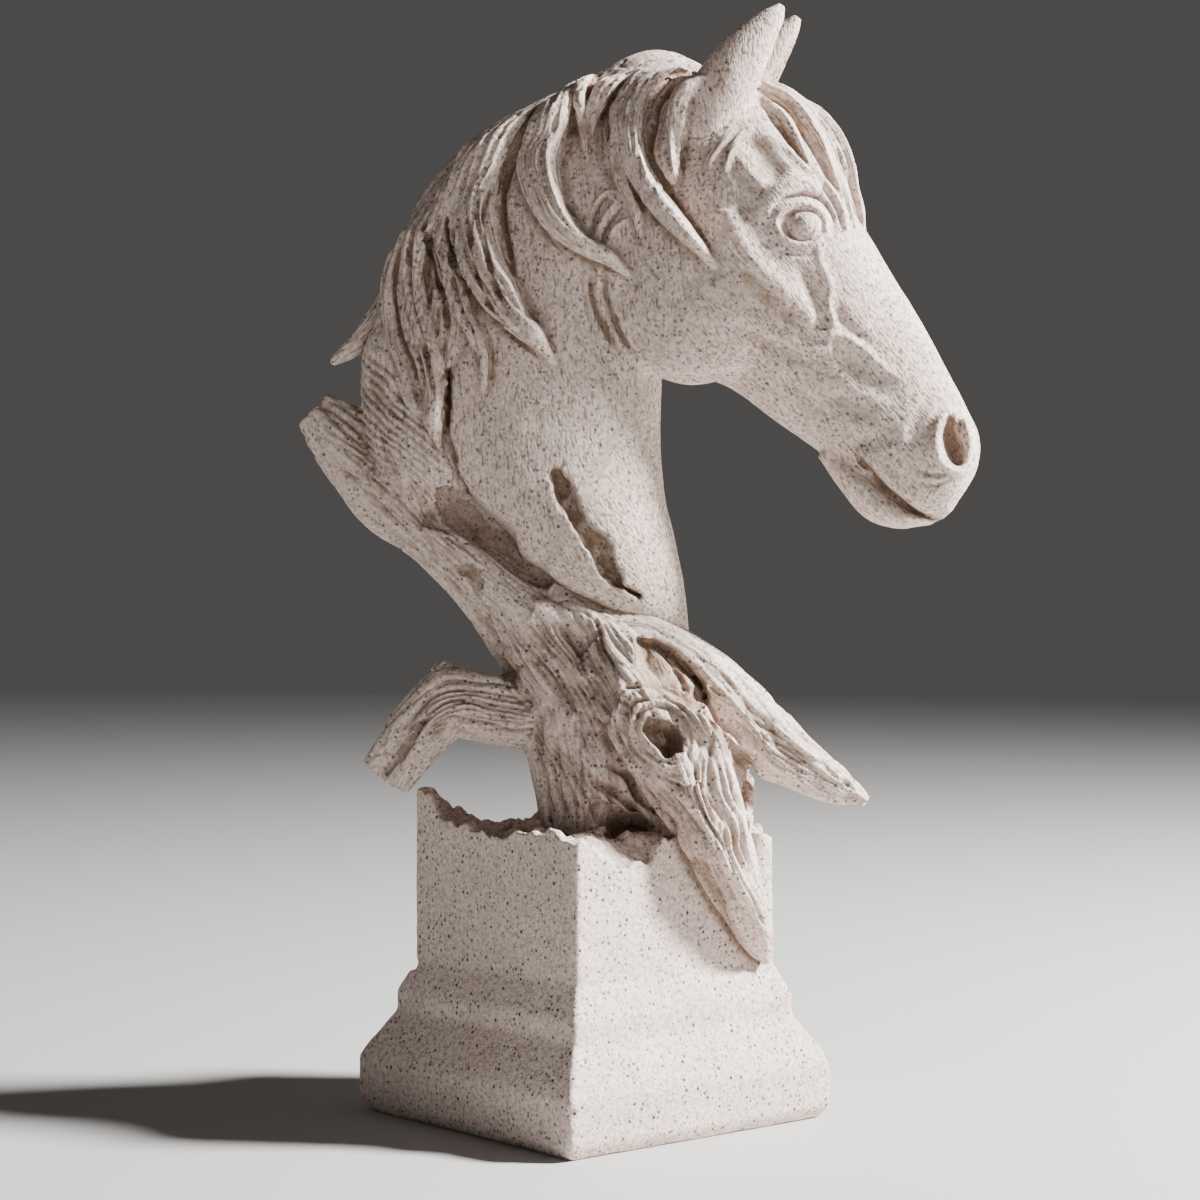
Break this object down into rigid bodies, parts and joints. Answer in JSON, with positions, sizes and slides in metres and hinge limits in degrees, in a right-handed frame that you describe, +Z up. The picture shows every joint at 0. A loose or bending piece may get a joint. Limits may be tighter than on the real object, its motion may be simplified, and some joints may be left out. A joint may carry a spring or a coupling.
{
  "type": "horse head sculpture",
  "caption": "Stone-coloured cast ornament: a horse's head and neck with flowing mane rise from weathered driftwood on a square moulded plinth with a broken top.",
  "frame": {"origin": "the middle of the plinth's square underside", "axes": "+X is the way the horse faces, along the plinth's diagonal; +Y is the horse's left side; +Z is up"},
  "size_m": [0.2423, 0.1698, 0.3939],
  "materials": {
    "cast_resin": "matte cast resin with stone powder, pale warm sandstone with dark and white specks and a brown wash in the recesses"
  },
  "bodies": {
    "root": {"horse_head_sculpture": "cast_resin"}
  },
  "joints": []
}
